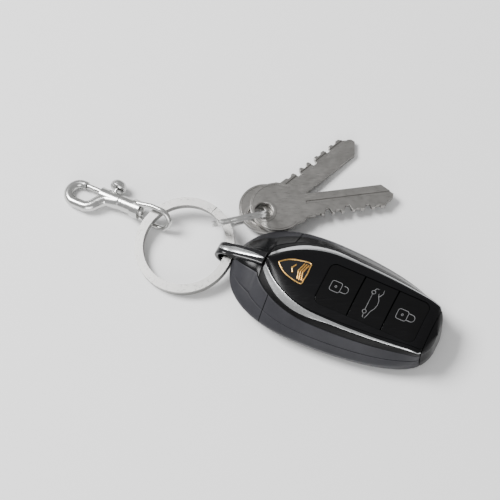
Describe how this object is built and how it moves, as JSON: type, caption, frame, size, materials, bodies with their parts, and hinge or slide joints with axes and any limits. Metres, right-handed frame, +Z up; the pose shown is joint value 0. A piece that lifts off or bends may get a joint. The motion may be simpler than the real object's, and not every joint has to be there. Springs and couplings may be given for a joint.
{
  "type": "key organiser",
  "caption": "Key ring set: a swivelling bolt clip, a flat split ring, a smaller split ring with house keys, and a remote fob with press buttons.",
  "frame": {"origin": "centre of the bounding box in X and Y, at the table's height", "axes": "+X to the fob's tail side, +Y away from the front, +Z up from the table"},
  "size_m": [0.1329, 0.0918, 0.0196],
  "materials": {
    "casing_black": "polished black lacquer with soft reflections",
    "casing_grey": "dark grey satin gloss",
    "deep_black": "black groove line",
    "trim_metal": "bright brushed trim",
    "buttons": "black, slightly satin, with grey symbols in line",
    "badge_gold": "polished gold with black field lines",
    "strap_black": "black lacquer",
    "rubber": "matt",
    "board": "green solder mask",
    "cell_steel": "brushed",
    "contact_brass": "satin",
    "ferrite": "dark, matt",
    "screw_steel": "dark zinc",
    "ring_steel": "fine brushed on the faces, polished on the edges",
    "small_ring_steel": "polished",
    "key_nickel": "worn nickel silver",
    "hook_silver": "polished, slightly worn",
    "spring_steel": "drawn wire"
  },
  "bodies": {
    "fob": {"lower_shell": "casing_grey", "upper_shell": "casing_black", "nose_lower": "casing_grey", "nose_upper": "casing_black", "bezel": "deep_black", "trim_near": "trim_metal", "trim_far": "trim_metal", "top_plate": "casing_black", "tail_cap": "casing_grey", "strap_loop": "strap_black", "strap_inlay": "trim_metal", "badge": "badge_gold", "keypad_mat": "rubber", "circuit_board": "board", "tact_switches": "screw_steel", "coin_cell": "cell_steel", "battery_clips": "contact_brass", "antenna_coil": "ferrite", "shell_screws": "screw_steel"},
    "button_unlock": {"button_unlock": "buttons"},
    "button_boot": {"button_boot": "buttons"},
    "button_lock": {"button_lock": "buttons"},
    "main_ring": {"main_ring": "ring_steel"},
    "small_ring": {"small_ring": "small_ring_steel"},
    "front_key": {"front_key": "key_nickel"},
    "back_key": {"back_key": "key_nickel"},
    "swivel_eye": {"swivel_eye": "hook_silver"},
    "hook": {"hook_body": "hook_silver", "swivel_rivet": "hook_silver", "bolt_spring": "spring_steel"},
    "hook_bolt": {"hook_bolt": "hook_silver", "thumb_knob": "hook_silver"}
  },
  "joints": [
    {"name": "ring_swing", "type": "hinge", "parent": "fob", "child": "main_ring", "pos_m": [-0.0077, -0.00261, 0.0063], "axis": [0.4305, 0.9026, 0], "range_deg": [-60, 38]},
    {"name": "small_ring_travel", "type": "hinge", "parent": "main_ring", "child": "small_ring", "pos_m": [-0.02321, 0.00135, 0.00472], "axis": [-0.1289, -0.1289, 0.9833], "range_deg": [0, 50]},
    {"name": "front_key_swing", "type": "hinge", "parent": "small_ring", "child": "front_key", "pos_m": [0.00461, 0.0143, 0.0057], "axis": [0.0522, 0.0243, 0.9983], "range_deg": [-1, 45]},
    {"name": "back_key_swing", "type": "hinge", "parent": "small_ring", "child": "back_key", "pos_m": [0.00219, 0.01397, 0.0036], "axis": [0.0522, 0.0243, 0.9983], "range_deg": [-19, 30]},
    {"name": "eye_swing", "type": "hinge", "parent": "main_ring", "child": "swivel_eye", "pos_m": [-0.03413, 0.01345, 0.00487], "axis": [-0.7313, -0.6573, -0.182], "range_deg": [-60, 60]},
    {"name": "hook_swivel", "type": "hinge", "parent": "swivel_eye", "child": "hook", "pos_m": [-0.04136, 0.01677, 0.00412], "axis": [0.8781, -0.4669, 0.1045], "continuous": true},
    {"name": "bolt_slide", "type": "slide", "parent": "hook", "child": "hook_bolt", "axis": [0.8781, -0.4669, 0.1045], "range_m": [0, 0.0036], "stiffness_N_per_m": 300, "springref_m": -0.002, "deforming": ["bolt_spring"]},
    {"name": "unlock_press", "type": "slide", "parent": "fob", "child": "button_unlock", "axis": [0, 0, -1], "range_m": [0, 0.0005], "stiffness_N_per_m": 800, "springref_m": -0.0005},
    {"name": "boot_press", "type": "slide", "parent": "fob", "child": "button_boot", "axis": [0, 0, -1], "range_m": [0, 0.0005], "stiffness_N_per_m": 800, "springref_m": -0.0005},
    {"name": "lock_press", "type": "slide", "parent": "fob", "child": "button_lock", "axis": [0, 0, -1], "range_m": [0, 0.0005], "stiffness_N_per_m": 800, "springref_m": -0.0005}
  ]
}
